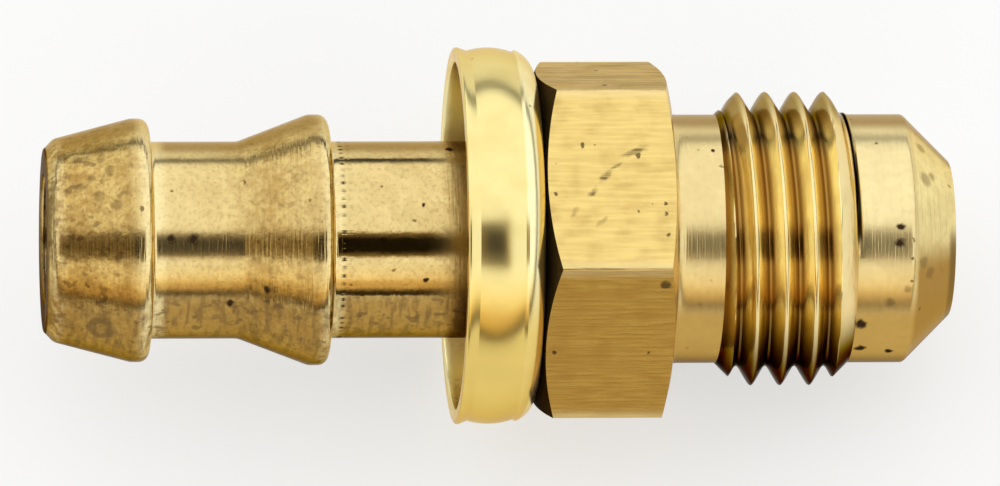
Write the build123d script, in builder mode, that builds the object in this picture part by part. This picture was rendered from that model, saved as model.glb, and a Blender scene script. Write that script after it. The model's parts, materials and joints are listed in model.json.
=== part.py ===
from build123d import *

import os
from math import asin, atan2, cos, hypot, radians, sin, sqrt, tan

# Hose barb fitting: a turned brass body with barbed tail, hexagon and flared tube end, and a loose collar.
# Lengths are in millimetres, angles in degrees. Distances along the fitting start at the tail's open end.
# It lies on the plane z = 0 as it comes to rest, on the heel of its collar and an edge of its hexagon.

# Flow bore
bore_diameter = 5.56
bore_chamfer = 0.12

# Barbed tail
tip_diameter = 8.54
tip_chamfer = 0.3
shank_diameter = 8.5
barb_round = 0.42
first_barb_diameter = 10.5
first_barb_ramp = 3.72
first_barb_land = 0.78
barb_gap = 3.85
second_barb_rise = 0.16
second_barb_ramp = 3.04
second_barb_land = 0.85
hose_stop_gap = 7.6

# Collar and its seat
collar_corner_inset = 0.05
collar_depth = 3.4
collar_wall = 0.6
heel_round = 1.2
bead_width = 0.65
bead_height = 0.1
bead_slope = 0.2
rim_chamfer = 0.15
collar_assembly_clearance = 0.09
collar_end_play = 0.2
collar_running_clearance = 0.05
seat_diameter = 10.0
seat_edge_width = 0.55
seat_edge_overlap = 0.35
seat_edge_chamfer = 0.2

# Hexagon
hex_across_flats = 14.29
hex_length = 5.6
hex_face_diameter = 14.0
hex_crown_angle = 15.0
hex_cut_margin = 1.0

# Flared tube end
neck_diameter = 10.74
neck_length = 2.23
neck_root_chamfer = 0.2
thread_diameter = 12.7
thread_length = 5.73
thread_chamfer_angle = 45.0
nose_diameter = 10.74
nose_length = 2.4
flare_angle = 45.0
flare_end_diameter = 6.66
flare_end_chamfer = 0.12

# Radii
bore_radius = bore_diameter / 2
tip_radius = tip_diameter / 2
shank_radius = shank_diameter / 2
first_barb_radius = first_barb_diameter / 2
second_barb_radius = first_barb_radius + second_barb_rise
barb_edge_round = min(barb_round, (first_barb_radius - shank_radius) / 2)
seat_radius = seat_diameter / 2
collar_hole_radius = second_barb_radius + collar_assembly_clearance
seat_edge_radius = collar_hole_radius + seat_edge_overlap
inner_heel_chamfer = (2 - sqrt(2)) * (heel_round - collar_wall)
hex_apothem = hex_across_flats / 2
hex_corner_radius = hex_apothem / cos(radians(30))
hex_face_radius = hex_face_diameter / 2
hex_crown_middle = (hex_face_radius + hex_corner_radius) / 2
hex_crown_sphere = hex_crown_middle / sin(radians(hex_crown_angle))
collar_radius = hex_corner_radius - collar_corner_inset - bead_height
neck_radius = neck_diameter / 2
thread_radius = thread_diameter / 2
nose_radius = nose_diameter / 2
flare_end_radius = flare_end_diameter / 2

# Stations along the fitting
first_crest = first_barb_ramp
first_back = first_crest + first_barb_land
second_foot = first_back + barb_gap
second_crest = second_foot + second_barb_ramp
second_back = second_crest + second_barb_land
seat_edge_start = second_back + hose_stop_gap
seat_start = seat_edge_start + seat_edge_width
hex_start = seat_start + collar_wall + collar_end_play
hex_end = hex_start + hex_length
thread_start = hex_end + neck_length
thread_crest_start = thread_start + (thread_radius - neck_radius) / tan(radians(thread_chamfer_angle))
thread_end = thread_start + thread_length
thread_crest_end = thread_end - (thread_radius - nose_radius) / tan(radians(thread_chamfer_angle))
flare_start = thread_end + nose_length
fitting_length = flare_start + (nose_radius - flare_end_radius) / tan(radians(flare_angle))
collar_back = hex_start - collar_end_play / 2
collar_rim = collar_back - collar_depth

# The loose collar carries the tail: the body sinks by its play, so the collar's centre is above the axis
collar_rise = collar_hole_radius - seat_radius - collar_running_clearance
heel_along = collar_back - heel_round
heel_centre_radius = collar_radius - heel_round - collar_rise


def hex_crown_depth(radius):
    """How far the turned crown falls back from an end face of the hexagon at this radius."""
    return sqrt(hex_crown_sphere**2 - hex_face_radius**2) - sqrt(hex_crown_sphere**2 - radius**2)


def tilt_to_touch(along, radius):
    """Tilt at which a point under the body meets the table while the collar's round heel rests on it."""
    run = along - heel_along
    rise = radius - heel_centre_radius
    return asin(heel_round / hypot(run, rise)) - atan2(rise, run)


# The flare end dips until the hexagon's edge or the thread meets the table, whichever comes first
hex_edge = hex_end - hex_crown_depth(hex_apothem)
tilt = min(tilt_to_touch(hex_edge, hex_apothem), tilt_to_touch(thread_crest_end, thread_radius))
tail_height = heel_centre_radius * cos(tilt) + heel_along * sin(tilt) + heel_round
tail_reach = (fitting_length * cos(tilt) + (flare_end_radius - tip_radius) * sin(tilt)) / 2

# Planes through the axis, with x along the fitting and y up from it, and stations across the axis
side = Plane(origin=(-tail_reach, 0, tail_height), x_dir=(cos(tilt), 0, -sin(tilt)), z_dir=(0, -1, 0))
collar_side = Plane(origin=side.from_local_coords((0, collar_rise)), x_dir=side.x_dir, z_dir=side.z_dir)
flow_axis = Axis(side.origin, side.x_dir)
collar_axis = Axis(collar_side.origin, collar_side.x_dir)


def station(along):
    """Plane across the fitting at a distance along it, with its x pointing up from the axis."""
    return Plane(origin=side.from_local_coords((along, 0)), x_dir=side.y_dir, z_dir=side.x_dir)


def corners(builder, *points):
    """The sketch's own corners at these points."""
    return [builder.vertices().sort_by_distance(point)[0] for point in points]


# Fitting body: a turned profile, a hexagon with a turned crown at each end and a bore
with BuildPart() as fitting_body:
    with BuildSketch(side) as turned:
        with BuildLine():
            Polyline(
                (0, 0),
                (0, tip_radius),
                (first_crest, first_barb_radius),
                (first_back, first_barb_radius),
                (first_back, shank_radius),
                (second_foot, shank_radius),
                (second_crest, second_barb_radius),
                (second_back, second_barb_radius),
                (second_back, shank_radius),
                (seat_edge_start, shank_radius),
                (seat_edge_start, seat_edge_radius),
                (seat_start, seat_edge_radius),
                (seat_start, seat_radius),
                (hex_start, seat_radius),
                (hex_start, neck_radius),
                (thread_start, neck_radius),
                (thread_crest_start, thread_radius),
                (thread_crest_end, thread_radius),
                (thread_end, nose_radius),
                (flare_start, nose_radius),
                (fitting_length, flare_end_radius),
                (fitting_length, 0),
                close=True,
            )
        make_face()
        chamfer(corners(turned, (0, tip_radius)), tip_chamfer)
        barb_backs = corners(turned, (first_back, first_barb_radius), (second_back, second_barb_radius))
        fillet(barb_backs, barb_edge_round)
        chamfer(corners(turned, (seat_edge_start, seat_edge_radius)), seat_edge_chamfer)
        chamfer(corners(turned, (fitting_length, flare_end_radius)), flare_end_chamfer)
    revolve(axis=flow_axis)

    with BuildSketch(station(hex_start)):
        RegularPolygon(hex_apothem, 6, major_radius=False, rotation=30)
    extrude(amount=hex_length)
    for face, inward in ((hex_start, 1), (hex_end, -1)):
        crown_radii = (hex_face_radius, hex_crown_middle, hex_corner_radius)
        with BuildSketch(side):
            with BuildLine():
                crown = ThreePointArc(
                    [(face + inward * hex_crown_depth(radius), radius) for radius in crown_radii]
                )
                Polyline(
                    crown @ 1,
                    crown @ 1 + (0, hex_cut_margin),
                    (face, hex_corner_radius + hex_cut_margin),
                    crown @ 0,
                )
            make_face()
        revolve(axis=flow_axis, mode=Mode.SUBTRACT)
    neck_root = fitting_body.edges().filter_by(GeomType.CIRCLE).sort_by_distance(
        side.from_local_coords((hex_end, neck_radius))
    )
    chamfer(neck_root[0], neck_root_chamfer)

    with BuildSketch(station(0)):
        Circle(bore_radius)
    extrude(amount=fitting_length, mode=Mode.SUBTRACT)
    bore_wall = fitting_body.faces().filter_by(GeomType.CYLINDER).sort_by(lambda wall: wall.radius)[0]
    chamfer(bore_wall.edges().filter_by(GeomType.CIRCLE), bore_chamfer)

# Hose collar: a drawn cup with a beaded rim, open towards the barbs, with a hole in its bottom
with BuildPart() as hose_collar:
    with BuildSketch(collar_side) as cup:
        with BuildLine():
            Polyline(
                (collar_rim, collar_radius),
                (collar_rim + bead_slope, collar_radius + bead_height),
                (collar_rim + bead_width - bead_slope, collar_radius + bead_height),
                (collar_rim + bead_width, collar_radius),
                (collar_back, collar_radius),
                (collar_back, collar_hole_radius),
                (collar_back - collar_wall, collar_hole_radius),
                (collar_back - collar_wall, collar_radius - collar_wall),
                (collar_rim, collar_radius - collar_wall),
                close=True,
            )
        make_face()
        fillet(corners(cup, (collar_back, collar_radius)), heel_round)
        inner_heel = corners(cup, (collar_back - collar_wall, collar_radius - collar_wall))
        chamfer(inner_heel, inner_heel_chamfer)
        chamfer(corners(cup, (collar_rim, collar_radius - collar_wall)), rim_chamfer)
    revolve(axis=collar_axis)

# Labels and files
os.makedirs("parts", exist_ok=True)
fitting_body.part.label = "fitting_body"
hose_collar.part.label = "hose_collar"
export_step(fitting_body.part, "parts/fitting_body.step")
export_step(hose_collar.part, "parts/hose_collar.step")
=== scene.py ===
import json
import math

import bpy
import numpy as np
from mathutils import Matrix, Vector


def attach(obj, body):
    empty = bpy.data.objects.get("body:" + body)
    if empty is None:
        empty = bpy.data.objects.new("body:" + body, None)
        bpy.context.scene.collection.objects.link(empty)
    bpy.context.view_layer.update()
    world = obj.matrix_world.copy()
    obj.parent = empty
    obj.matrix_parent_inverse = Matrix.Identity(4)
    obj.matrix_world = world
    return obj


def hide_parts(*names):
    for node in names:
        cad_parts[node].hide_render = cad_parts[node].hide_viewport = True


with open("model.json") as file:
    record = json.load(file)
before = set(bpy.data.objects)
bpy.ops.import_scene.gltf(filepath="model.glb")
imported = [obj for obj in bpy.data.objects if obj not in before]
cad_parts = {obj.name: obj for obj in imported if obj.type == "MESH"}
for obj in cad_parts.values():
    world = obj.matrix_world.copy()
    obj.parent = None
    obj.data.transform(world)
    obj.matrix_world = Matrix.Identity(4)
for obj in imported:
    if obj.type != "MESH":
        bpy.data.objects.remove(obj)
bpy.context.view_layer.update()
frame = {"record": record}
mounts = {mount["name"]: mount for mount in frame["record"]["mounts"]}
MM = 0.001

# Sizes of the body, in millimetres and degrees, along its axis from the open end of its tail
BORE_RADIUS = mounts["flow_bore"]["dims"]["r_mm"]
BORE_CHAMFER = 0.12
FITTING_LENGTH = mounts["flow_bore"]["dims"]["length_mm"] + 2 * BORE_CHAMFER
TIP_RADIUS = 4.27
TIP_FACE_RADIUS = 3.94
TIP_CHAMFER = 0.42
TIP_EDGE_ROUND = 0.08
TIP_SHOULDER_ROUND = 0.55
SHANK_RADIUS = 4.25
SHANK_ROOT_ROUND = 0.15
BARB_ROUND = 0.42
CREST_ROUND = 0.8
FOOT_ROUND = 0.8
FIRST_BARB_RADIUS = 5.25
FIRST_CREST = 3.72
FIRST_BACK = 4.5
SECOND_BARB_RADIUS = mounts["hose_barb"]["dims"]["r_mm"]
SECOND_FOOT = 8.35
SECOND_CREST = 11.39
SECOND_BACK = 12.24
SEAT_RADIUS = 5.0
SEAT_EDGE_RADIUS = 5.85
SEAT_EDGE_ROUND = 0.2
SEAT_EDGE_START = 19.84
SEAT_START = 20.39
HEX_START = 21.19
HEX_END = 26.79
HEX_APOTHEM = 7.145
HEX_CORNER_RADIUS = HEX_APOTHEM / math.cos(math.pi / 6)
HEX_CORNER_ROUND = 0.12
HEX_FACE_RADIUS = 7.0
COLLAR_SIDE_CROWN = 25.0
NECK_SIDE_CROWN = 15.0
NECK_RADIUS = 5.37
NECK_ROOT_ROUND = 0.55
THREAD_START = 29.02
THREAD_END = 34.75
THREAD_RADIUS = mounts["flare_thread"]["dims"]["r_mm"]
THREAD_PITCH = 1.27
THREAD_CREST_AT_TOP = 30.19
NOSE_RADIUS = 5.37
NOSE_ROUND = 0.3
FLARE_START = 37.15
FLARE_END_RADIUS = 3.33
FLARE_END_ROUND = 0.2

# Thread form, in pitches: half of its rounded crest, where its root begins and the slope of its flanks
THREAD_CREST_HALF = 1 / 16
THREAD_ROOT_START = 3 / 8
THREAD_FLANK_SLOPE = math.sqrt(3)

# Groove where the thread's cutter left the work: the place of its end, how far it goes around, and its fading
RUN_OUT_ALONG = 34.86
RUN_OUT_ANGLE = 30.0
RUN_OUT_TURN = 180.0
RUN_OUT_START_FADE = 60.0
RUN_OUT_END_FADE = 15.0
RUN_OUT_WIDTH = 0.2
RUN_OUT_DEPTH = 0.16
RUN_OUT_STEEPNESS = 4.0

# Shallow dents as (along, degrees from the top towards the viewer, size across, depth)
BARB_DENT = (2.3, 72.0, 0.6, 0.05)
DENTS = (
    BARB_DENT,
    (1.3, -28.0, 0.35, 0.03),
    (2.75, -8.0, 0.4, 0.03),
    (9.4, 48.0, 0.4, 0.025),
    (11.8, 95.0, 0.4, 0.04),
    (24.0, 200.0, 0.9, 0.03),
    (37.7, -20.0, 0.5, 0.04),
    (36.4, 150.0, 0.6, 0.03),
)
DENT_STEEPNESS = 1.5

# Sizes of the collar: a flared lip, a crowned band and a round heel, with a crease between each two
COLLAR_RIM = 17.69
COLLAR_BACK = 21.09
COLLAR_WALL = 0.6
COLLAR_INNER_RADIUS = 7.5
COLLAR_HOLE_RADIUS = 5.5
RIM_RADIUS = 8.19
RIM_ROUND = 0.12
LIP_END = 18.24
LIP_END_RADIUS = 7.985
BAND_END = 20.18
BAND_END_RADIUS = 7.945
BAND_HEIGHT = 0.155
HEEL_START = 20.32
HEEL_RADIUS = 8.085
HEEL_ROUND = 1.2

# Unevenness of the drawn collar as (height, waves around it, twist along it, start)
COLLAR_WAVES = ((0.008, 5, 0.9, 0.0), (0.006, 11, 0.0, 2.1))

# Mesh fineness
COLUMNS = 216
POINT_SPACING = 0.28
ARC_STEPS = 6
CROWN_RINGS = 5
FLAT_RINGS = 19
POINTS_PER_PITCH = 26
RUN_OUT_RINGS = 5
RUN_OUT_SPACING = RUN_OUT_WIDTH / 4
BORE_RINGS = 12
BAND_POINTS = 29
HEEL_POINTS = 14
SHARP_ANGLE = 35.0

# Zones of the body with a finish of their own
TURNED, FLATS, THREADED = 0, 1, 2

# The fitting's own axes: along it, up from it and towards the viewer
along_axis = Vector(mounts["flow_bore"]["axis"]).normalized()
front_axis = Vector((0.0, -1.0, 0.0))
up_axis = front_axis.cross(along_axis)
tilt = math.atan2(-along_axis.z, along_axis.x)
tail_end = Vector(mounts["flow_bore"]["pos_m"]) - along_axis * (FITTING_LENGTH / 2 * MM)
collar_joint = frame["record"]["behaviour"]["joints"][0]
collar_rise = (Vector(collar_joint["pos_m"]) - tail_end).dot(up_axis) / MM


def place(along, radius, angle, rise):
    """Points in the shared frame, in metres, from lengths in millimetres and angles from the top."""
    points = np.outer(along, along_axis)
    points += np.outer(radius * np.cos(angle) + rise, up_axis)
    points += np.outer(radius * np.sin(angle), front_axis)
    return points * MM + np.array(tail_end)


def rounded(*corners):
    """Outline through corners (along, radius, round), with an arc at each corner that has a round."""
    outline = []
    for index, (along, radius, round_radius) in enumerate(corners):
        here = Vector((along, radius))
        if not round_radius:
            outline.append(here)
            continue
        back = (Vector(corners[index - 1][:2]) - here).normalized()
        ahead = (Vector(corners[index + 1][:2]) - here).normalized()
        half = back.angle(ahead) / 2
        centre = here + (back + ahead).normalized() * (round_radius / math.sin(half))
        first = here + back * (round_radius / math.tan(half)) - centre
        last = here + ahead * (round_radius / math.tan(half)) - centre
        for step in range(ARC_STEPS + 1):
            outline.append(centre + first.slerp(last, step / ARC_STEPS).normalized() * round_radius)
    return outline


def spaced(outline):
    """The outline with points added on its long straight runs."""
    points = [outline[0]]
    for point in outline[1:]:
        start = points[-1]
        parts = max(1, math.ceil((point - start).length / POINT_SPACING))
        points += [start.lerp(point, part / parts) for part in range(1, parts + 1)]
    return points


def crowned(start, end, height):
    """Outline of a low round crown from one crease to the next."""
    half = (end - start).length / 2
    arc_radius = (half**2 + height**2) / (2 * height)
    half_turn = math.asin(half / arc_radius)
    points = []
    for turn in np.linspace(-half_turn, half_turn, BAND_POINTS):
        share = (1 + math.sin(turn) * arc_radius / half) / 2
        rise = arc_radius * (math.cos(turn) - math.cos(half_turn))
        points.append(start.lerp(end, share) + Vector((0.0, rise)))
    return points


def rolled(back, outer_radius, round_radius, start):
    """Outline of a round heel from a place along the fitting to its back."""
    points = []
    for turn in np.linspace(math.asin(1 - (back - start) / round_radius), math.pi / 2, HEEL_POINTS):
        along = back - round_radius * (1 - math.sin(turn))
        points.append(Vector((along, outer_radius - round_radius * (1 - math.cos(turn)))))
    return points


def run_out_depth(along, angle):
    """Depth of the groove that leads out of the thread, which fades at both ends."""
    from_end = (angle - math.radians(RUN_OUT_ANGLE)) % (2 * math.pi) - 2 * math.pi
    groove = (along - RUN_OUT_ALONG - from_end / (2 * math.pi) * THREAD_PITCH) / RUN_OUT_WIDTH
    end_fade = np.clip(-from_end / math.radians(RUN_OUT_END_FADE), 0, 1)
    from_start = from_end + math.radians(RUN_OUT_TURN)
    start_fade = np.clip(from_start / math.radians(RUN_OUT_START_FADE), 0, 1)
    return RUN_OUT_DEPTH * end_fade * start_fade * np.exp(-RUN_OUT_STEEPNESS * groove**2)


def body_wear(along, radius, angle):
    """How far dents and the thread's run-out groove go into the surface at these points."""
    depth = run_out_depth(along, angle)
    for dent_along, degrees, size, deepest in DENTS:
        turn = (angle - math.radians(degrees) + math.pi) % (2 * math.pi) - math.pi
        away = ((along - dent_along) ** 2 + (turn * radius) ** 2) / size**2
        depth += deepest * (1 - away) * np.exp(-DENT_STEEPNESS * away)
    return depth


def collar_wobble(along, radius, angle):
    """A drawn cup is a little uneven."""
    depth = np.zeros_like(angle)
    for height, waves, twist, start in COLLAR_WAVES:
        depth += height * np.sin(waves * angle + twist * along + start)
    return depth


class RingMesh:
    """A closed skin made of rings of points around the axis, joined one to the next."""

    def __init__(self, angles, rise, wear):
        self.angles = angles
        self.rise = rise
        self.wear = wear
        self.zone = TURNED
        self.points = []
        self.rings = []
        self.zones = []
        self.count = 0

    def new_points(self, along, radius, angles):
        """Adds points and gives their numbers."""
        points = place(along, radius - self.wear(along, radius, angles), angles, self.rise)
        self.points.append(points)
        self.count += len(points)
        return np.arange(self.count - len(points), self.count)

    def join(self, numbers, seam):
        """Adds a ring of points that are there already, closed by the seam's point."""
        self.rings.append(np.append(numbers, seam))
        self.zones.append(self.zone)

    def ring(self, along, radius):
        """Adds one ring, where along and radius may differ from angle to angle."""
        full = np.zeros_like(self.angles)
        numbers = self.new_points(along + full, radius + full, self.angles)
        self.join(numbers, numbers[0])
        return numbers

    def outline(self, points):
        """Adds a ring for each point (along, radius)."""
        for along, radius in points:
            self.ring(along, radius)

    def piece(self, name):
        """The finished object, with the last ring joined to the first."""
        faces = []
        zones = []
        for lower, upper, zone in zip(self.rings, self.rings[1:] + self.rings[:1], self.zones):
            for corner in zip(lower[:-1], upper[:-1], upper[1:], lower[1:]):
                unique = list(dict.fromkeys(int(number) for number in corner))
                if len(unique) > 2:
                    faces.append(unique)
                    zones.append(zone)
        mesh = bpy.data.meshes.new(name)
        mesh.from_pydata(np.concatenate(self.points).tolist(), [], faces)
        mesh.polygons.foreach_set("material_index", zones)
        mesh.shade_smooth()
        mesh.set_sharp_from_angle(angle=math.radians(SHARP_ANGLE))
        made = bpy.data.objects.new(name, mesh)
        bpy.context.scene.collection.objects.link(made)
        return made


def column_angles():
    """Angles around the axis from the top, with two more beside each corner of the hexagon."""
    even = np.arange(COLUMNS) * (2 * math.pi / COLUMNS)
    corner_angles = np.radians(np.arange(30, 360, 60))
    beside = HEX_CORNER_ROUND * math.tan(math.pi / 6) / HEX_CORNER_RADIUS
    return np.sort(np.concatenate([even, corner_angles - beside, corner_angles + beside]))


def hexagon_radius(angles):
    """Distance from the axis to the hexagon's flats and softened corners."""
    from_flat = (angles + math.pi / 6) % (math.pi / 3) - math.pi / 6
    softening = HEX_CORNER_ROUND * (1 / math.cos(math.pi / 6) - 1)
    return np.minimum(HEX_APOTHEM / np.cos(from_flat), HEX_CORNER_RADIUS - softening)


def crown_depth(radius, crown_angle):
    """How far a turned crown of the hexagon falls back from its end face at this radius."""
    middle = (HEX_FACE_RADIUS + HEX_CORNER_RADIUS) / 2
    sphere = middle / math.sin(math.radians(crown_angle))
    return math.sqrt(sphere**2 - HEX_FACE_RADIUS**2) - np.sqrt(sphere**2 - radius**2)


def hexagon_rings(body):
    """The hexagon's turned crowns and its flats between them."""
    radius = hexagon_radius(body.angles)
    crown_shares = np.linspace(0.0, 1.0, CROWN_RINGS)
    crown_radii = [HEX_FACE_RADIUS + (radius - HEX_FACE_RADIUS) * share for share in crown_shares]
    for at_radius in crown_radii[:-1]:
        body.ring(HEX_START + crown_depth(at_radius, COLLAR_SIDE_CROWN), at_radius)
    body.zone = FLATS
    first_edge = HEX_START + crown_depth(radius, COLLAR_SIDE_CROWN)
    last_edge = HEX_END - crown_depth(radius, NECK_SIDE_CROWN)
    for share in np.linspace(0.0, 1.0, FLAT_RINGS)[:-1]:
        body.ring(first_edge + (last_edge - first_edge) * share, radius)
    body.zone = TURNED
    for at_radius in reversed(crown_radii):
        body.ring(HEX_END - crown_depth(at_radius, NECK_SIDE_CROWN), at_radius)


def thread_depth(phase):
    """Depth below the thread's crest, in pitches, for a distance from the crest in pitches."""
    from_crest = abs((phase + 0.5) % 1.0 - 0.5)
    flank = math.hypot(min(from_crest, THREAD_ROOT_START), THREAD_CREST_HALF) - THREAD_CREST_HALF
    into_root = max(from_crest - THREAD_ROOT_START, 0.0)
    root_half = 0.5 - THREAD_ROOT_START
    return THREAD_FLANK_SLOPE * (flank + into_root - into_root**2 / (2 * root_half))


def thread_rings(body):
    """A right-hand thread that runs out in a chamfer at each end; its rings follow the helix."""
    least_step = THREAD_PITCH / POINTS_PER_PITCH / 4
    body.zone = THREADED
    first = body.ring(THREAD_START, NECK_RADIUS)
    turn = body.angles / (2 * math.pi)
    lowest = math.floor((THREAD_START - THREAD_CREST_AT_TOP) / THREAD_PITCH - 1) * POINTS_PER_PITCH
    highest = math.ceil((THREAD_END - THREAD_CREST_AT_TOP) / THREAD_PITCH + 1) * POINTS_PER_PITCH
    rings = []
    for number in range(lowest, highest):
        phase = number / POINTS_PER_PITCH
        along = THREAD_CREST_AT_TOP + (phase + turn) * THREAD_PITCH
        inside = (along > THREAD_START + least_step) & (along < THREAD_END - least_step)
        run_in = NECK_RADIUS + (along - THREAD_START)
        run_out = NOSE_RADIUS + (THREAD_END - along)
        form = THREAD_RADIUS - thread_depth(phase) * THREAD_PITCH
        radius = np.minimum(form, np.minimum(run_in, run_out))
        numbers = np.where(along < THREAD_END - least_step, first, -1)
        numbers[inside] = body.new_points(along[inside], radius[inside], body.angles[inside])
        rings.append(numbers)
    full = np.zeros_like(turn)
    last = body.new_points(full + THREAD_END, full + NOSE_RADIUS, body.angles)
    rings = [np.where(numbers < 0, last, numbers) for numbers in rings]
    rings += [last] * POINTS_PER_PITCH
    for numbers, one_turn_on in zip(rings, rings[POINTS_PER_PITCH:]):
        body.join(numbers, one_turn_on[0])
    body.zone = TURNED
    body.join(last, last[0])


def tail_outline():
    """The barbed tail and the collar's seat, from the bore's edge to the hexagon."""
    tip_slope = (FIRST_BARB_RADIUS - TIP_RADIUS) / FIRST_CREST
    return rounded(
        (0, BORE_RADIUS + BORE_CHAMFER, 0),
        (0, TIP_FACE_RADIUS, TIP_EDGE_ROUND),
        (TIP_CHAMFER, TIP_RADIUS + tip_slope * TIP_CHAMFER, TIP_SHOULDER_ROUND),
        (FIRST_CREST, FIRST_BARB_RADIUS, CREST_ROUND),
        (FIRST_BACK, FIRST_BARB_RADIUS, BARB_ROUND),
        (FIRST_BACK, SHANK_RADIUS, SHANK_ROOT_ROUND),
        (SECOND_FOOT, SHANK_RADIUS, FOOT_ROUND),
        (SECOND_CREST, SECOND_BARB_RADIUS, CREST_ROUND),
        (SECOND_BACK, SECOND_BARB_RADIUS, BARB_ROUND),
        (SECOND_BACK, SHANK_RADIUS, SHANK_ROOT_ROUND),
        (SEAT_EDGE_START, SHANK_RADIUS, SHANK_ROOT_ROUND),
        (SEAT_EDGE_START, SEAT_EDGE_RADIUS, SEAT_EDGE_ROUND),
        (SEAT_START, SEAT_EDGE_RADIUS, 0),
        (SEAT_START, SEAT_RADIUS, 0),
        (HEX_START, SEAT_RADIUS, 0),
    )


def neck_outline():
    """The hexagon's end face and the neck, up to the thread."""
    return rounded(
        (HEX_END, HEX_FACE_RADIUS - POINT_SPACING, 0),
        (HEX_END, NECK_RADIUS, NECK_ROOT_ROUND),
        (THREAD_START, NECK_RADIUS, 0),
    )


def nose_outline():
    """The nose, the flare cone and its end face, from the thread to the bore."""
    return rounded(
        (THREAD_END, NOSE_RADIUS, 0),
        (FLARE_START, NOSE_RADIUS, NOSE_ROUND),
        (FITTING_LENGTH, FLARE_END_RADIUS, FLARE_END_ROUND),
        (FITTING_LENGTH, BORE_RADIUS + BORE_CHAMFER, 0),
        (FITTING_LENGTH - BORE_CHAMFER, BORE_RADIUS, 0),
    )


def build_body():
    """The turned body: barbed tail, collar seat, hexagon, neck, thread, flare nose and bore."""
    body = RingMesh(column_angles(), 0.0, body_wear)
    body.outline(spaced(tail_outline()))
    hexagon_rings(body)
    body.outline(spaced(neck_outline())[:-1])
    thread_rings(body)
    # Close rings carry the run-out groove, in place of the nose's first points
    for step in range(1, RUN_OUT_RINGS + 1):
        body.ring(THREAD_END + step * RUN_OUT_SPACING, NOSE_RADIUS)
    body.outline(spaced(nose_outline())[2:])
    for along in np.linspace(FITTING_LENGTH - BORE_CHAMFER, BORE_CHAMFER, BORE_RINGS)[1:]:
        body.ring(along, BORE_RADIUS)
    return body.piece("fitting_body_turned")


def build_collar():
    """The drawn cup: crowned band, round heel, pierced bottom, plain inside and flared lip."""
    collar = RingMesh(column_angles(), collar_rise, collar_wobble)
    lip_crease = Vector((LIP_END, LIP_END_RADIUS))
    heel_crease = Vector((BAND_END, BAND_END_RADIUS))
    band = crowned(lip_crease, heel_crease, BAND_HEIGHT)
    heel = rolled(COLLAR_BACK, HEEL_RADIUS, HEEL_ROUND, HEEL_START)
    cup = rounded(
        (COLLAR_BACK, HEEL_RADIUS - HEEL_ROUND, 0),
        (COLLAR_BACK, COLLAR_HOLE_RADIUS, 0),
        (COLLAR_BACK - COLLAR_WALL, COLLAR_HOLE_RADIUS, 0),
        (COLLAR_BACK - COLLAR_WALL, COLLAR_INNER_RADIUS, COLLAR_WALL),
        (COLLAR_RIM, COLLAR_INNER_RADIUS, RIM_ROUND),
        (COLLAR_RIM, RIM_RADIUS, RIM_ROUND),
        (LIP_END, LIP_END_RADIUS, 0),
    )
    collar.outline(band + heel + spaced(cup)[1:-1])
    return collar.piece("hose_collar_drawn")


# Colours of brass, from clean to tarnished; the darker ones are also laid on as painted shade and the paler
# ones as painted highlight
CLEAN = (0.79, 0.635, 0.30, 1.0)
CLEAN_FLAT = (0.80, 0.60, 0.21, 1.0)
LIGHT = (1.0, 0.91, 0.52, 1.0)
BRIGHT = (1.0, 0.85, 0.40, 1.0)
STRAW = (0.93, 0.79, 0.41, 1.0)
PALE = (0.90, 0.73, 0.36, 1.0)
LEMON = (0.86, 0.73, 0.32, 1.0)
HONEY = (0.80, 0.58, 0.15, 1.0)
GOLDEN = (0.68, 0.48, 0.14, 1.0)
PALE_AMBER = (0.57, 0.36, 0.09, 1.0)
AMBER = (0.50, 0.29, 0.06, 1.0)
DULL_AMBER = (0.41, 0.24, 0.06, 1.0)
UMBER = (0.355, 0.245, 0.115, 1.0)
BROWN = (0.33, 0.18, 0.04, 1.0)
# Used for real stains and specks, and also laid as painted shade under and around the fitting
STAIN_AND_SHADE = (0.17, 0.10, 0.035, 1.0)
DARK = (0.05, 0.03, 0.014, 1.0)
EDGE_TINT = (0.88, 0.72, 0.46, 1.0)

# Sides of the fitting as (centre, fringe, core), in degrees around it from the top towards the viewer:
# painted highlight goes on the upper side and painted shade on all the others
UPPER_SIDE = (-15, 60, 25)
REAR_BAND = (-58, 20, 9)
LOWER_FRONT = (110, 68, 46)
UNDERSIDE = (140, 56, 32)
TAIL_BELOW = (105, 60, 38)
CONE_BELOW = (100, 86, 60)
FLARE_RIM_FRONT = (70, 62, 42)
BACK_FLAT = (-60, 31, 29)
FRONT_FLATS = (90, 61, 59)
THREAD_BEHIND = (-75, 45, 29)
ROOTS_BEHIND = (-75, 60, 40)
THREAD_BELOW = (118, 68, 36)
COLLAR_BELOW = (105, 81, 51)

# Patterns as grains a millimetre (along, across, up), detail, and the noise where a patch starts and is full
BLOTCHES = ((0.7, 0.7, 0.7), 5.0, 0.38, 0.64)
MOTTLING = ((3.0, 3.0, 3.0), 3.0, 0.35, 0.70)
TOOL_LINES = ((9.0, 0.4, 0.4), 2.0, 0.38, 0.70)
STAINS = ((1.9, 2.3, 2.3), 2.0, 0.56, 0.68)
GRIT = ((6.0, 5.0, 5.0), 3.0, 0.48, 0.68)
STREAKS = ((4.0, 0.8, 0.8), 3.0, 0.44, 0.64)
RIM_BREAKS = ((1.6, 1.6, 1.6), 2.0, 0.36, 0.52)
CHATTER_BREAKS = ((0.5, 2.0, 2.0), 2.0, 0.36, 0.6)
BAR_GRAIN = ((0.5, 6.0, 6.0), 4.0, 0.34, 0.66)
BAR_BLOTCHES = ((0.9, 1.1, 1.1), 5.0, 0.42, 0.70)
BAR_STREAKS = ((0.3, 3.0, 3.0), 3.0, 0.42, 0.6)
THREAD_BLOTCHES = ((1.0, 0.6, 0.6), 4.0, 0.38, 0.70)
COLLAR_SMEARS = ((0.5, 0.5, 0.5), 4.0, 0.42, 0.72)

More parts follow.
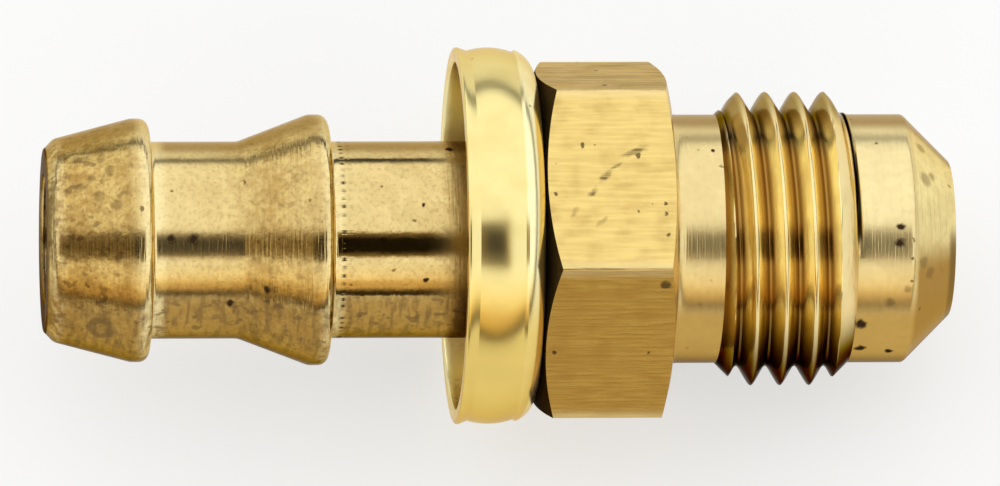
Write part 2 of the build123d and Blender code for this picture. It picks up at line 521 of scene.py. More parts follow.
# Plain noise as grains to a millimetre along, across and up, and detail
RAGGED_GRAIN = ((3.0, 3.0, 3.0), 2.0)
THREAD_GRAIN = ((4.0, 1.0, 1.0), 2.0)
COLLAR_WAVINESS = ((0.9, 0.9, 0.9), 1.0)

# Scattered specks as cells to a millimetre, the share of cells that has one, and its size
TURNED_SPECKS = (2.2, 0.2, 0.12)
BAR_SPECKS = (1.7, 0.2, 0.14)
COLLAR_SPECKS = (1.3, 0.06, 0.12)
SPECK_EDGE = (-0.02, 0.06)

# Depth of each finish's relief, in millimetres
TURNED_RELIEF = 0.012
BAR_RELIEF = 0.007
THREAD_RELIEF = 0.01
COLLAR_RELIEF = 0.006

# Edges of pits and strokes: how far they wander, in millimetres, and the share of each that is fully dark
RAGGED = (0.3, 0.3, 0.3)
PIT_CORE = 0.45
STROKE_EDGE, STROKE_CORE = 1.2, 0.4

# Shade in the run-out groove, in millimetres from its middle, and the turn over which it fades, in radians
RUN_OUT_SHADE_EDGE = 0.6 * RUN_OUT_WIDTH
RUN_OUT_SHADE_CORE = 0.25 * RUN_OUT_WIDTH
RUN_OUT_SHADE_FADE = 0.2

# Levels on the turned parts as (place along the fitting, level)
TARNISH_LEVELS = (
    (0, 0.6), (0.5, 0.8), (3.4, 0.68), (3.9, 0.25), (4.8, 0.12), (7.6, 0.3), (9.5, 0.6), (11.6, 0.4),
    (12.4, 0.2), (14.5, 0.25), (17.3, 0.32), (26.8, 0.15), (29.0, 0.12), (34.8, 0.12), (37.0, 0.15),
    (37.5, 0.22), (39.0, 0.25),
)
TOOL_LINE_LEVELS = (
    (0, 0.3), (3.0, 0.3), (4.2, 0.6), (5.0, 0.2), (8.0, 0.3), (9.2, 0.5), (12.2, 0.5), (12.6, 0.08),
    (18.0, 0.08), (26.9, 0.35), (38.0, 0.35),
)
ROUGHNESS_LEVELS = (
    (0, 0.17), (4.0, 0.17), (4.8, 0.16), (8.0, 0.16), (9.0, 0.17), (11.5, 0.16), (12.4, 0.06), (16.2, 0.07),
    (17.3, 0.2), (26.8, 0.23), (38.0, 0.23),
)
HAZE_LEVELS = (
    (0, 0.0), (4.6, 0.0), (4.8, 0.05), (8.0, 0.05), (8.8, 0.0), (26.0, 0.0), (26.8, 0.15), (37.0, 0.15),
    (37.6, 0.05),
)
# Paler edges at the tip and on the barbs' crests: partly rubbed, partly painted highlight
RUBBED_AND_HIGHLIGHT_LEVELS = (
    (0.1, 0), (0.3, 0.6), (0.6, 0.6), (0.8, 0), (3.8, 0), (4.15, 0.8), (4.8, 0.8), (5.2, 0), (11.6, 0),
    (11.95, 0.7), (12.5, 0.7), (12.9, 0),
)
# Painted highlight along the top of the neck, thread and nose
TOP_HIGHLIGHT_LEVELS = ((26.0, 0), (26.8, 0.15), (34.6, 0.2), (34.9, 0.38), (37.05, 0.38), (37.4, 0))
CHATTER_LEVELS = ((12.55, 0), (12.65, 1), (12.78, 1), (12.86, 0), (12.98, 0.35), (13.1, 0))
# Painted shade on the hexagon's crown behind the collar
CROWN_SHADE_LEVELS = ((20.6, 0), (21.0, 0.9), (22.2, 0.9), (22.4, 0))

# Marks on the turned parts as (along, radius, degrees from the top towards the viewer, size)
SOFT_MARKS = (
    (1.93, 4.7, -13.5, 0.24), (2.63, 4.9, -16.5, 0.3), (2.9, 5.0, 3.2, 0.36), (1.27, 4.55, -28.0, 0.3),
    (1.35, 4.6, -8.0, 0.3), (2.2, 4.8, -2.0, 0.34), (2.3, 4.8, -24.0, 0.26), (37.69, 4.8, -32.8, 0.38),
    (37.75, 4.75, -11.5, 0.45), (38.1, 4.4, -16.0, 0.3), (37.6, 4.9, 33.0, 0.36), (37.9, 4.6, 40.0, 0.34),
    (36.2, 5.37, 52.0, 0.3), (36.9, 5.37, 45.0, 0.26),
)
PITS = (
    (5.26, 4.25, 20.2, 0.24), (6.22, 4.25, 20.2, 0.32), (7.83, 4.3, 60.5, 0.24), (9.4, 4.65, 48.6, 0.22),
    (34.98, 5.37, 64.4, 0.34), (35.1, 5.37, 82.7, 0.32), (36.57, 5.37, 15.6, 0.22), (36.53, 5.37, 23.0, 0.27),
    (36.35, 5.37, 85.7, 0.25), (16.14, 4.25, 0.4, 0.14), (16.24, 4.25, 45.2, 0.16), (17.4, 4.25, -44.6, 0.25),
    (28.6, 5.37, -23.8, 0.14),
)

# The dent on the first barb: its distance from the axis, its dark rim and its dull floor
BARB_DENT_RADIUS = 4.85
DENT_RIM_RADIUS, DENT_RIM_HALF, DENT_RIM_CORE = 0.52, 0.26, 0.04
DENT_FLOOR_EDGE, DENT_FLOOR_CORE = 0.65, 0.3

# Chatter marks in a turn behind the second barb
CHATTER_WAVES = 70.0

# Shading at both ends of the fitting, in millimetres from its cut end, the cone's start and the flare's end
CUT_END_EDGE, CUT_END_CORE = 0.1, 0.03
CONE_EDGE = 0.3
FLARE_RIM_EDGE, FLARE_RIM_CORE = 0.42, 0.2

# Strokes on the hexagon's top flat as (along, across, degrees from along, half length, half width)
SCRATCH = (
    (24.99, 1.26, 20.0, 0.7, 0.17),
    (24.2, 0.62, 35.0, 0.3, 0.08),
    (23.73, 0.15, 45.0, 0.42, 0.2),
    (23.17, -0.59, 50.0, 0.33, 0.17),
)
FAINT_SCRATCHES = ((22.34, -1.51, 60.0, 0.35, 0.12), (23.51, -1.93, 40.0, 0.4, 0.12))

# The hexagon's corners: one pit, a dark line beside each upper corner, in radians, and where they turn paler,
# partly rubbed and partly painted highlight
CORNER_PIT = (26.2, 7.86, 35.5, 0.3)
CORNER_LINE_ANGLE = math.radians(31.2)
CORNER_LINE_EDGE, CORNER_LINE_CORE = 0.02, 0.007
RUBBED_AND_HIGHLIGHT_CORNER_START = 7.95

# Zones of the thread, in millimetres from its root, its crest and its end
ROOT_EDGE, FLANK_EDGE = 0.02, 0.3
CREST_EDGE, CREST_CORE = 0.24, 0.05
LAST_CHAMFER_EDGE, LAST_CHAMFER_CORE = 0.9, 0.5

# Zones of the collar, in millimetres beyond its inner wall and its band
INSIDE_EDGE, INSIDE_CORE = 0.4, 0.3
HEEL_EDGE = 0.1


class Nodes:
    """Short calls that add nodes to one tree and give back an output."""

    def __init__(self, tree):
        self.tree = tree

    def add(self, kind, inputs, output=0, **settings):
        node = self.tree.nodes.new(kind)
        for name, value in settings.items():
            setattr(node, name, value)
        for name, value in inputs.items():
            if isinstance(value, bpy.types.NodeSocket):
                self.tree.links.new(value, node.inputs[name])
            else:
                node.inputs[name].default_value = value
        return node.outputs[output]

    def math(self, operation, *values):
        return self.add("ShaderNodeMath", dict(enumerate(values)), operation=operation)

    def product(self, *values):
        """All values multiplied."""
        result = values[0]
        for value in values[1:]:
            result = self.math("MULTIPLY", result, value)
        return result

    def total(self, *values):
        """All values added up and held between 0 and 1."""
        result = values[0]
        for value in values[1:]:
            result = self.add("ShaderNodeMath", {0: result, 1: value}, operation="ADD", use_clamp=True)
        return result

    def away(self, value, centre):
        """How far a value is from another one, on either side."""
        return self.math("ABSOLUTE", self.math("SUBTRACT", value, centre))

    def smooth(self, value, start, end):
        """Goes smoothly from 0 where the value is start to 1 where it is end."""
        limits = {"Value": value, "From Min": start, "From Max": end}
        return self.add("ShaderNodeMapRange", limits, interpolation_type="SMOOTHSTEP")

    def turned(self, angle, start, end):
        """Goes smoothly from 0 to 1 between two angles in degrees."""
        return self.smooth(angle, math.radians(start), math.radians(end))

    def span(self, value, low, high):
        """Maps a value from 0 to 1 onto a range."""
        return self.add("ShaderNodeMapRange", {"Value": value, "To Min": low, "To Max": high})

    def dot(self, vector, axis):
        return self.add("ShaderNodeVectorMath", {0: vector, 1: axis}, output=1, operation="DOT_PRODUCT")

    def mix(self, share, first, second):
        return self.add("ShaderNodeMix", {0: share, 6: first, 7: second}, output=2, data_type="RGBA")

    def layered(self, colour, *layers):
        """A colour with layers (where, how strong, colour) laid over it one by one."""
        for where, strength, layer_colour in layers:
            colour = self.mix(self.product(where, strength), colour, layer_colour)
        return colour

    def noise(self, vector, grains, detail):
        scaled = self.add("ShaderNodeVectorMath", {0: vector, 1: grains}, operation="MULTIPLY")
        return self.add("ShaderNodeTexNoise", {"Vector": scaled, "Scale": 1.0, "Detail": detail})

    def level(self, value, stops):
        """A level that runs straight between stops (place along the fitting, level)."""
        share = self.math("DIVIDE", value, FITTING_LENGTH)
        output = self.add("ShaderNodeValToRGB", {0: share})
        elements = output.node.color_ramp.elements
        elements.remove(elements[1])
        for index, (position, height) in enumerate(stops):
            element = elements.new(position / FITTING_LENGTH) if index else elements[0]
            element.position = position / FITTING_LENGTH
            element.color = (height, height, height, 1.0)
        return output

    def specks(self, vector, density, chance, size):
        """Scattered round specks, each in a cell of its own."""
        cells = self.add("ShaderNodeTexVoronoi", {"Vector": vector, "Scale": density}).node
        draw = self.add("ShaderNodeSeparateColor", {0: cells.outputs["Color"]})
        reach = self.product(self.smooth(draw, 1.0 - chance, 1.0), size * density)
        return self.smooth(self.math("SUBTRACT", reach, cells.outputs["Distance"]), *SPECK_EDGE)


class Brass:
    """A brass surface under construction, with places in millimetres along, across and up the fitting."""

    def __init__(self, name):
        self.material = bpy.data.materials.new(name)
        self.material.use_nodes = True
        self.nodes = Nodes(self.material.node_tree)
        self.shader = self.material.node_tree.nodes["Principled BSDF"]
        self.shader.inputs["Metallic"].default_value = 1.0
        turn_level = Matrix.Rotation(-tilt, 3, "Y")
        object_place = self.nodes.add("ShaderNodeTexCoord", {}, output=3)
        self.place = self.nodes.add(
            "ShaderNodeMapping",
            {
                "Vector": object_place,
                "Location": turn_level @ tail_end / -MM,
                "Rotation": (0.0, -tilt, 0.0),
                "Scale": (1 / MM, 1 / MM, 1 / MM),
            },
        )
        ragged = self.nodes.noise(self.place, *RAGGED_GRAIN).node.outputs["Color"]
        self.ragged_place = self.nodes.add(
            "ShaderNodeVectorMath", {0: ragged, 1: RAGGED, 2: self.place}, operation="MULTIPLY_ADD"
        )
        parts = self.nodes.add("ShaderNodeSeparateXYZ", {0: self.place}).node
        self.along, self.across, self.up = parts.outputs
        squares = [self.nodes.product(side, side) for side in (self.across, self.up)]
        self.radius = self.nodes.math("SQRT", self.nodes.math("ADD", *squares))
        toward_viewer = self.nodes.product(self.across, -1.0)
        self.angle = self.nodes.math("ARCTAN2", toward_viewer, self.up)

    def level(self, stops):
        """A level that changes along the fitting."""
        return self.nodes.level(self.along, stops)

    def patches(self, pattern):
        """Patches of a pattern: 1 inside them and 0 between them."""
        grains, detail, start, full = pattern
        return self.nodes.smooth(self.nodes.noise(self.place, grains, detail), start, full)

    def specks(self, kind):
        return self.nodes.specks(self.ragged_place, *kind)

    def around(self, side):
        """1 on the core of a side of the fitting, fading to 0 at its fringe."""
        centre, fringe, core = [math.radians(degrees) for degrees in side]
        nearness = self.nodes.math("COSINE", self.nodes.math("SUBTRACT", self.angle, centre))
        return self.nodes.smooth(nearness, math.cos(fringe), math.cos(core))

    def run_out(self):
        """The shade in the thread's run-out groove, which fades out at the front."""
        turned_back = self.nodes.math("SUBTRACT", self.angle, math.radians(RUN_OUT_ANGLE))
        advance = self.nodes.product(turned_back, THREAD_PITCH / (2 * math.pi))
        away = self.nodes.away(self.nodes.math("SUBTRACT", self.along, advance), RUN_OUT_ALONG)
        shade = self.nodes.smooth(away, RUN_OUT_SHADE_EDGE, RUN_OUT_SHADE_CORE)
        return self.nodes.product(shade, self.nodes.smooth(turned_back, 0.0, -RUN_OUT_SHADE_FADE))

    def away_from(self, along, radius, degrees):
        """Ragged distance from a point on the surface."""
        angle = math.radians(degrees)
        centre = Vector((along, -radius * math.sin(angle), radius * math.cos(angle))) + Vector(RAGGED) / 2
        return self.nodes.add(
            "ShaderNodeVectorMath", {0: self.ragged_place, 1: centre}, output=1, operation="DISTANCE"
        )

    def pits(self, *places):
        """Dark pits at given places (along, radius, degrees from the top, size)."""
        pits = []
        for along, radius, degrees, size in places:
            pits.append(self.nodes.smooth(self.away_from(along, radius, degrees), size, size * PIT_CORE))
        return self.nodes.total(*pits)

    def strokes(self, *places):
        """Short strokes on the top flat (along, across, degrees from along, half length, half width)."""
        strokes = []
        for along, across, degrees, half_length, half_width in places:
            stretch = {
                "Vector": self.ragged_place,
                "Location": Vector((along, across, HEX_APOTHEM)) + Vector(RAGGED) / 2,
                "Rotation": (0.0, 0.0, math.radians(degrees)),
                "Scale": (half_length, half_width, 1.0),
            }
            stretched = self.nodes.add("ShaderNodeMapping", stretch, vector_type="TEXTURE")
            away = self.nodes.add("ShaderNodeVectorMath", {0: stretched}, output=1, operation="LENGTH")
            strokes.append(self.nodes.smooth(away, STROKE_EDGE, STROKE_CORE))
        return self.nodes.total(*strokes)

    def join(self, value, socket):
        self.material.node_tree.links.new(value, self.shader.inputs[socket])

    def finish(self, colour, roughness, dulling, height, depth):
        """Joins colour, roughness, a share where reflections go dark, which holds marks and on some finishes
        painted shade, and a height map in millimetres to the shader.
        """
        relief = {"Height": height, "Strength": 1.0, "Distance": depth * MM}
        self.join(colour, "Base Color")
        self.join(roughness, "Roughness")
        self.join(self.nodes.mix(dulling, EDGE_TINT, DARK), "Specular Tint")
        self.join(self.nodes.add("ShaderNodeBump", relief), "Normal")
        return self.material


class TurnedBrass(Brass):
    """Lathe-turned brass, with the patterns and places that its layers share."""

    def __init__(self, name):
        super().__init__(name)
        nodes = self.nodes
        self.tarnish_level = self.level(TARNISH_LEVELS)
        self.blotches = self.patches(BLOTCHES)
        self.mottling = self.patches(MOTTLING)
        cover = nodes.total(nodes.span(self.blotches, 0.25, 0.8), nodes.span(self.mottling, -0.1, 0.45))
        self.tarnish = nodes.product(self.tarnish_level, cover)
        self.lines = nodes.product(self.patches(TOOL_LINES), self.level(TOOL_LINE_LEVELS))
        self.on_tail = nodes.smooth(self.along, HEX_START, COLLAR_RIM)
        self.on_cone = nodes.smooth(self.along, FLARE_START, FLARE_START + CONE_EDGE)
        self.cut_end = nodes.smooth(self.along, CUT_END_EDGE, CUT_END_CORE)
        # Painted shade underneath, laid in the colour and in the reflections
        self.underside = self.around(UNDERSIDE)

    def base_colour(self):
        """Clean to golden along the fitting, with painted highlight above and on the flare cone, painted
        shade below, underneath and behind, and paler edges that are partly rubbed and partly painted
        highlight.
        """
        nodes = self.nodes
        # Painted shade below the front takes a deeper colour on the tail and on the flare cone
        before_hexagon = nodes.smooth(self.along, HEX_END, HEX_START)
        deeper_shade = nodes.total(nodes.product(before_hexagon, 0.65), self.on_cone)
        amber_shade = nodes.mix(deeper_shade, PALE_AMBER, DULL_AMBER)
        return nodes.layered(
            CLEAN,
            (self.tarnish_level, 1.0, GOLDEN),
            # Painted highlight on the top
            (nodes.product(self.level(TOP_HIGHLIGHT_LEVELS), self.around(UPPER_SIDE)), 1.0, LIGHT),
            # Painted highlight on the flare cone
            (self.on_cone, 1.0, BRIGHT),
            # Painted shade on the lower front
            (self.around(LOWER_FRONT), 1.0, amber_shade),
            # Painted shade in a band behind the top
            (self.around(REAR_BAND), 0.9, UMBER),
            # Painted shade underneath
            (self.underside, 0.75, STAIN_AND_SHADE),
            # Painted shade under the flare cone
            (nodes.product(self.on_cone, self.around(CONE_BELOW)), 1.0, amber_shade),
            # Paler edges, partly rubbed and partly painted highlight
            (self.level(RUBBED_AND_HIGHLIGHT_LEVELS), 1.0, STRAW),
        )

    def tarnished(self, colour):
        """A colour under a brown film, tool lines, grit, stains and specks, with painted shade under the tail
        laid as mottled brown, streaks and more stains.
        """
        nodes = self.nodes
        # Painted shade under the tail, laid through the brown film, the streaks and the stains
        tail_below = nodes.product(self.around(TAIL_BELOW), self.on_tail)
        film_and_shade = nodes.total(self.tarnish, nodes.product(tail_below, nodes.span(self.mottling, 0.0, 0.28)))
        lines = nodes.product(self.lines, nodes.span(self.tarnish_level, 0.0, 0.8))
        grit = nodes.product(self.patches(GRIT), self.on_tail, nodes.span(self.tarnish_level, 0.14, 0.42))
        streaky_shade = nodes.product(self.patches(STREAKS), tail_below, 0.55)
        stain_and_shade_reach = nodes.total(nodes.smooth(self.tarnish_level, 0.2, 0.9), tail_below)
        specks = nodes.product(self.specks(TURNED_SPECKS), nodes.smooth(self.blotches, 0.1, 0.8))
        return nodes.layered(
            colour,
            (film_and_shade, 1.0, BROWN),
            (lines, 1.0, BROWN),
            (nodes.total(grit, streaky_shade), 1.0, STAIN_AND_SHADE),
            (nodes.product(self.patches(STAINS), stain_and_shade_reach), 0.7, STAIN_AND_SHADE),
            (specks, 0.85, STAIN_AND_SHADE),
        )

    def marked(self, colour):
        """A colour with the barb's dent, soft marks, painted shade on the front of the flare's rim and
        painted shade at the cut end.
        """
        nodes = self.nodes
        dent_along, dent_degrees = BARB_DENT[:2]
        from_dent = self.away_from(dent_along, BARB_DENT_RADIUS, dent_degrees)
        dent_rim = nodes.smooth(nodes.away(from_dent, DENT_RIM_RADIUS), DENT_RIM_HALF, DENT_RIM_CORE)
        rim_strength = nodes.span(self.patches(RIM_BREAKS), 0.45, 0.75)
        flare_rim = nodes.smooth(self.along, FITTING_LENGTH - FLARE_RIM_EDGE, FITTING_LENGTH - FLARE_RIM_CORE)
        return nodes.layered(
            colour,
            (nodes.smooth(from_dent, DENT_FLOOR_EDGE, DENT_FLOOR_CORE), 0.35, STAIN_AND_SHADE),
            (dent_rim, rim_strength, STAIN_AND_SHADE),
            (self.pits(*SOFT_MARKS), 0.5, STAIN_AND_SHADE),
            # Painted shade on the front of the flare's rim
            (nodes.product(flare_rim, self.around(FLARE_RIM_FRONT)), 0.8, STAIN_AND_SHADE),
            # Painted shade at the cut end
            (self.cut_end, 0.7, STAIN_AND_SHADE),
        )

    def chatter(self):
        """Broken rows of fine marks around the shank behind the second barb."""
        waves = self.nodes.math("SINE", self.nodes.product(self.angle, CHATTER_WAVES))
        row = self.nodes.smooth(waves, -0.1, 0.6)
        return self.nodes.product(row, self.level(CHATTER_LEVELS), self.patches(CHATTER_BREAKS))


def turned_brass():
    """Lathe-turned and tarnished: blotches, tool lines, stains, pits and chatter marks, with painted shade in
    the run-out groove, on the hexagon's crown behind the collar and underneath.
    """
    brass = TurnedBrass("turned_brass")
    nodes = brass.nodes
    chatter = brass.chatter()
    # Pits and chatter, with painted shade in the run-out groove and on the crown behind the collar
    dark_marks_and_shade = nodes.total(brass.pits(*PITS), chatter, brass.run_out(), brass.level(CROWN_SHADE_LEVELS))
    colour = brass.marked(brass.tarnished(brass.base_colour()))
    colour = nodes.mix(dark_marks_and_shade, colour, DARK)
    # Reflections darken on pits and chatter, and as painted shade at the cut end and underneath
    dulling = nodes.total(dark_marks_and_shade, nodes.product(brass.cut_end, 0.8), nodes.product(brass.underside, 0.55))
    deep_marks = nodes.smooth(dulling, 0.6, 1.0)
    roughness = nodes.total(
        brass.level(ROUGHNESS_LEVELS), nodes.span(brass.tarnish, 0.0, 0.12), nodes.span(deep_marks, 0.0, 0.3)
    )
    pitting = nodes.product(brass.mottling, nodes.span(brass.tarnish_level, 0.0, 0.35))
    height = nodes.math("SUBTRACT", pitting, nodes.total(brass.lines, nodes.product(chatter, 0.3)))
    brass.join(nodes.math("SUBTRACT", 1.0, brass.level(HAZE_LEVELS)), "Metallic")
    return brass.finish(colour, roughness, dulling, height, TURNED_RELIEF)


def flat_brass():
    """The bar's own drawn flats: grain along the bar, specks and a broken scratch on the top flat, with
    painted shade on the front flats and the back flat, and corners that are partly rubbed and partly painted
    highlight.
    """
    brass = Brass("drawn_bar_brass")
    nodes = brass.nodes
    grain = brass.patches(BAR_GRAIN)
    blotches = brass.patches(BAR_BLOTCHES)
    # Painted shade on the back flat, laid in its colour and as streaks
    behind = brass.around(BACK_FLAT)
    from_line = nodes.away(nodes.math("ABSOLUTE", brass.angle), CORNER_LINE_ANGLE)
    corner_line = nodes.product(nodes.smooth(from_line, CORNER_LINE_EDGE, CORNER_LINE_CORE), 0.6)
    wear = nodes.total(nodes.span(blotches, 0.0, 0.18), nodes.span(grain, 0.0, 0.16), corner_line)
    streaky_shade = nodes.product(brass.patches(BAR_STREAKS), behind, 0.4)
    faint = nodes.product(brass.strokes(*FAINT_SCRATCHES), 0.35)
    scratch = nodes.product(brass.strokes(*SCRATCH), nodes.span(grain, 0.35, 1.0))
    dulling = nodes.product(nodes.total(brass.specks(BAR_SPECKS), scratch, brass.pits(CORNER_PIT)), 0.8)
    colour = nodes.layered(
        CLEAN_FLAT,
        # Painted shade on the front flats
        (brass.around(FRONT_FLATS), 1.0, AMBER),
        # Painted shade on the back flat
        (behind, 0.3, UMBER),
        (wear, 1.0, BROWN),
        # Streaky painted shade behind, with faint scratches
        (nodes.total(streaky_shade, faint), 1.0, STAIN_AND_SHADE),
        (dulling, 1.0, DARK),
        # Paler corners, partly rubbed and partly painted highlight
        (nodes.smooth(brass.radius, RUBBED_AND_HIGHLIGHT_CORNER_START, HEX_CORNER_RADIUS), 0.6, CLEAN),
    )
    roughness = nodes.total(nodes.span(grain, 0.26, 0.36), nodes.span(blotches, 0.0, 0.1))
    return brass.finish(colour, roughness, dulling, grain, BAR_RELIEF)


def thread_brass():
    """The thread: pale crests and end chamfer, partly rubbed and partly painted highlight, golden flanks,
    dark roots, and painted shade behind and below.
    """
    brass = Brass("thread_brass")
    nodes = brass.nodes
    root_radius = THREAD_RADIUS - thread_depth(0.5) * THREAD_PITCH
    on_flank = nodes.smooth(brass.radius, root_radius - ROOT_EDGE, root_radius + FLANK_EDGE)
    on_crest = nodes.smooth(brass.radius, THREAD_RADIUS - CREST_EDGE, THREAD_RADIUS - CREST_CORE)
    on_chamfer = nodes.smooth(brass.along, THREAD_END - LAST_CHAMFER_EDGE, THREAD_END - LAST_CHAMFER_CORE)
    blotches = brass.patches(THREAD_BLOTCHES)
    behind = brass.around(THREAD_BEHIND)
    below = brass.around(THREAD_BELOW)
    run_out = brass.run_out()
    # Roots darker still behind and below: painted shade
    root = nodes.mix(nodes.total(brass.around(ROOTS_BEHIND), below), BROWN, DARK)
    # Painted shade on the flanks below the front and behind
    flank = nodes.layered(STRAW, (brass.around(LOWER_FRONT), 1.0, HONEY), (behind, 0.55, UMBER))
    colour = nodes.layered(
        nodes.mix(on_flank, root, flank),
        (blotches, 0.2, BROWN),
        # Pale crests and end chamfer: partly rubbed, partly painted highlight
        (nodes.total(on_crest, on_chamfer), 1.0, PALE),
        # Painted shade behind and below
        (behind, 0.35, UMBER),
        (below, 0.8, STAIN_AND_SHADE),
        (run_out, 1.0, DARK),
    )
    # Reflections darken in the run-out groove and, as painted shade, below and behind
    dulling = nodes.total(run_out, nodes.product(below, 0.9), nodes.product(behind, 0.4))
    roughness = nodes.span(blotches, 0.16, 0.24)
    height = nodes.noise(brass.place, *THREAD_GRAIN)
    return brass.finish(colour, roughness, dulling, height, THREAD_RELIEF)


def collar_brass():
    """Clean polished brass with faint handling marks, painted light inside, a painted highlight on the heel
    and painted shade below.
    """
    brass = Brass("drawn_brass")
    nodes = brass.nodes
    inside = nodes.smooth(brass.radius, COLLAR_INNER_RADIUS + INSIDE_EDGE, COLLAR_INNER_RADIUS + INSIDE_CORE)
    heel = nodes.smooth(brass.along, BAND_END, BAND_END + HEEL_EDGE)
    smears = brass.patches(COLLAR_SMEARS)
    specks = brass.specks(COLLAR_SPECKS)
    colour = nodes.layered(
        LEMON,
        # Painted light inside and a painted highlight on the heel
        (nodes.total(inside, heel), 1.0, LIGHT),
        # Painted shade below, outside
        (brass.around(COLLAR_BELOW), nodes.span(inside, 0.9, 0.0), HONEY),
        (smears, 0.25, GOLDEN),
        (specks, 1.0, BROWN),
    )
    roughness = nodes.total(
        nodes.span(smears, 0.2, 0.25), nodes.span(specks, 0.0, 0.2), nodes.span(inside, 0.0, 0.05)
    )
    height = nodes.noise(brass.place, *COLLAR_WAVINESS)
    return brass.finish(colour, roughness, specks, height, COLLAR_RELIEF)


# Pieces, the bodies they ride on and the solids they replace
body_piece = build_body()
for material in (turned_brass(), flat_brass(), thread_brass()):
    body_piece.data.materials.append(material)
collar_piece = build_collar()
collar_piece.data.materials.append(collar_brass())
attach(body_piece, "fitting")
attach(collar_piece, "collar")
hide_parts("fitting_body")
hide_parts("hose_collar")

# Camera: looks down on the lying fitting, with the tail a little nearer than the flare end
VIEW_LEAN, VIEW_DIP, VIEW_ROLL = 20.9, 4.8, 0.16
VIEW_DISTANCE = 600.0
FRAME_WIDTH = 43.2
AIM_ALONG, AIM_BELOW = 19.74, 0.16
SENSOR_WIDTH = 36.0
NEAREST = 0.01


def add_camera():
    """A camera that leans towards the front of the fitting and sees it along the whole frame."""
    lean, dip = math.radians(VIEW_LEAN), math.radians(VIEW_DIP)
    across = up_axis * math.cos(lean) + front_axis * math.sin(lean)
    towards = across * math.cos(dip) - along_axis * math.sin(dip)
    right = (along_axis - towards * along_axis.dot(towards)).normalized()
    right = Matrix.Rotation(math.radians(-VIEW_ROLL), 3, towards) @ right
    upward = towards.cross(right)
    aim = tail_end + along_axis * (AIM_ALONG * MM) - upward * (AIM_BELOW * MM)
    turn = Matrix((right, upward, towards)).transposed().to_4x4()
    camera = bpy.data.objects.new("camera", bpy.data.cameras.new("camera"))
    camera.data.sensor_width = SENSOR_WIDTH
    camera.data.lens = SENSOR_WIDTH * VIEW_DISTANCE / FRAME_WIDTH
    camera.data.clip_start = NEAREST
    camera.matrix_world = Matrix.Translation(aim + towards * (VIEW_DISTANCE * MM)) @ turn
    bpy.context.scene.collection.objects.link(camera)
    bpy.context.scene.camera = camera


# Stage: a plain pale floor
FLOOR_HALF = 2.0
FLOOR_COLOUR = (0.93, 0.95, 0.97, 1.0)
FLOOR_GLOW = 0.6
WHITE = (1.0, 1.0, 1.0, 1.0)


def add_stage():
    """A floor that shows as near white and keeps the fitting's shadow."""
    mesh = bpy.data.meshes.new("floor")
    corners = [(x * FLOOR_HALF, y * FLOOR_HALF, 0.0) for x, y in ((-1, -1), (1, -1), (1, 1), (-1, 1))]
    mesh.from_pydata(corners, [], [(0, 1, 2, 3)])
    floor = bpy.data.objects.new("floor", mesh)
    bpy.context.scene.collection.objects.link(floor)
    material = bpy.data.materials.new("floor")
    material.use_nodes = True
    tree = material.node_tree
    nodes = Nodes(tree)
    diffuse = nodes.add("ShaderNodeBsdfDiffuse", {"Color": FLOOR_COLOUR})
    glow = nodes.add("ShaderNodeEmission", {"Color": WHITE, "Strength": 1.0})
    rays = nodes.add("ShaderNodeLightPath", {}).node.outputs
    seen = nodes.total(rays["Is Camera Ray"], rays["Is Glossy Ray"], rays["Is Transmission Ray"])
    surface = nodes.add("ShaderNodeMixShader", {0: nodes.product(seen, FLOOR_GLOW), 1: diffuse, 2: glow})
    tree.links.new(surface, tree.nodes["Material Output"].inputs["Surface"])
    mesh.materials.append(material)


# Light: a bright tent around the fitting, with angles in degrees from above towards the front
TENT_BRIGHTNESS = 1.25
WARM_FRONT = (1.0, 0.86, 0.58, 1.0)
TAN = (0.80, 0.58, 0.28, 1.0)
FRONT_EDGE_LEAN, FRONT_EDGE_HALF, FRONT_EDGE_DARK = 75.0, 3.0, 0.85
TAN_START, TAN_FULL = FRONT_EDGE_LEAN - 3 * FRONT_EDGE_HALF, FRONT_EDGE_LEAN - FRONT_EDGE_HALF
BACK_EDGE_FROM, BACK_EDGE_TO, BACK_EDGE_DARK = 4.0, 13.0, 0.06

# The camera's dark slot in the tent, with openings as (start, end, brightness) along the fitting
WARM_SLOT = (1.0, 0.70, 0.30, 1.0)
SLOT_LEAN, SLOT_HALF, SLOT_EDGE, SLOT_CORE = 27.0, 14.5, 2.5, 9.5
SLOT_GLOW, SLOT_DARKEST = 0.14, 0.01
SLOT_OPENINGS = ((-0.15, -0.8, 0.3), (-0.65, -0.85, 0.9), (0.14, 0.42, 0.9))
OPENING_WHITE, OPENING_WARM = 0.9, 0.2


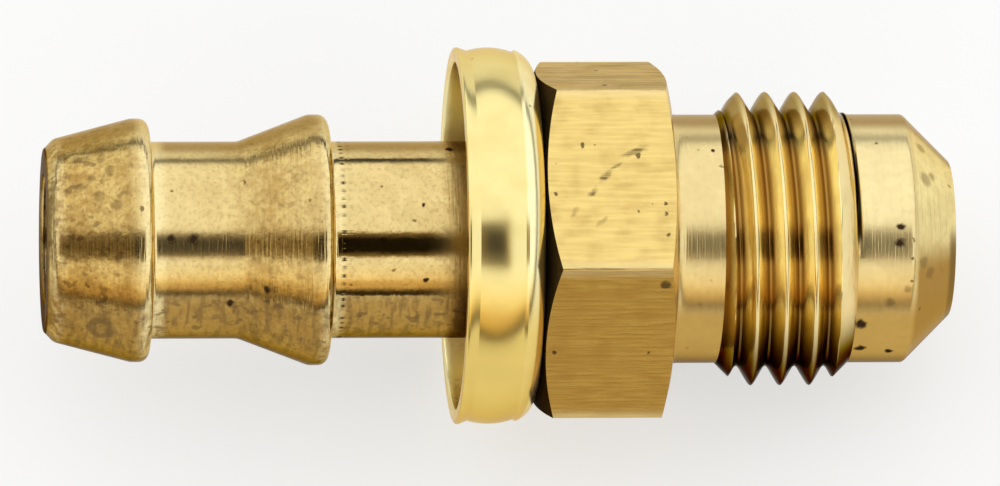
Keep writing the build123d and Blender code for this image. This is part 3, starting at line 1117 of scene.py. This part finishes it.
def add_light():
    """A tent that is bright overhead and behind, warm in front, tan low in front and dark in its slot."""
    world = bpy.data.worlds.new("studio")
    world.use_nodes = True
    nodes = Nodes(world.node_tree)
    direction = nodes.add("ShaderNodeTexCoord", {})
    lean = nodes.math("ARCTAN2", nodes.dot(direction, front_axis), nodes.dot(direction, up_axis))
    sideways = nodes.dot(direction, along_axis)
    height = nodes.dot(direction, (0.0, 0.0, 1.0))

    from_slot = nodes.away(lean, math.radians(SLOT_LEAN))
    in_slot = nodes.turned(from_slot, SLOT_HALF + SLOT_EDGE, SLOT_HALF - SLOT_EDGE)
    in_core = nodes.turned(from_slot, SLOT_CORE + SLOT_EDGE, SLOT_CORE - SLOT_EDGE)
    opening = 0.0
    for start, end, brightness in SLOT_OPENINGS:
        opened = nodes.span(nodes.smooth(sideways, start, end), 0.0, brightness)
        opening = nodes.math("MAXIMUM", opening, opened)
    slot_light = nodes.math("MAXIMUM", opening, nodes.span(in_core, SLOT_GLOW, SLOT_DARKEST))
    tent = nodes.add("ShaderNodeMix", {0: in_slot, 2: 1.0, 3: slot_light}, data_type="FLOAT")

    from_front_edge = nodes.away(lean, math.radians(FRONT_EDGE_LEAN))
    front_edge = nodes.turned(from_front_edge, FRONT_EDGE_HALF, 0.0)
    lowest, highest = math.sin(math.radians(BACK_EDGE_FROM)), math.sin(math.radians(BACK_EDGE_TO))
    above_edge = nodes.smooth(height, lowest, highest)
    light = nodes.product(
        tent,
        nodes.span(front_edge, 1.0, FRONT_EDGE_DARK),
        nodes.span(above_edge, BACK_EDGE_DARK, 1.0),
        TENT_BRIGHTNESS,
    )
    colour = nodes.layered(
        WHITE,
        (nodes.turned(lean, SLOT_LEAN + SLOT_HALF, FRONT_EDGE_LEAN), 1.0, WARM_FRONT),
        (in_slot, nodes.smooth(opening, OPENING_WHITE, OPENING_WARM), WARM_SLOT),
        (nodes.turned(lean, TAN_START, TAN_FULL), 1.0, TAN),
    )
    background = world.node_tree.nodes["Background"]
    world.node_tree.links.new(colour, background.inputs["Color"])
    world.node_tree.links.new(light, background.inputs["Strength"])
    bpy.context.scene.world = world


add_camera()
add_stage()
add_light()
bpy.context.scene.view_settings.view_transform = "Standard"
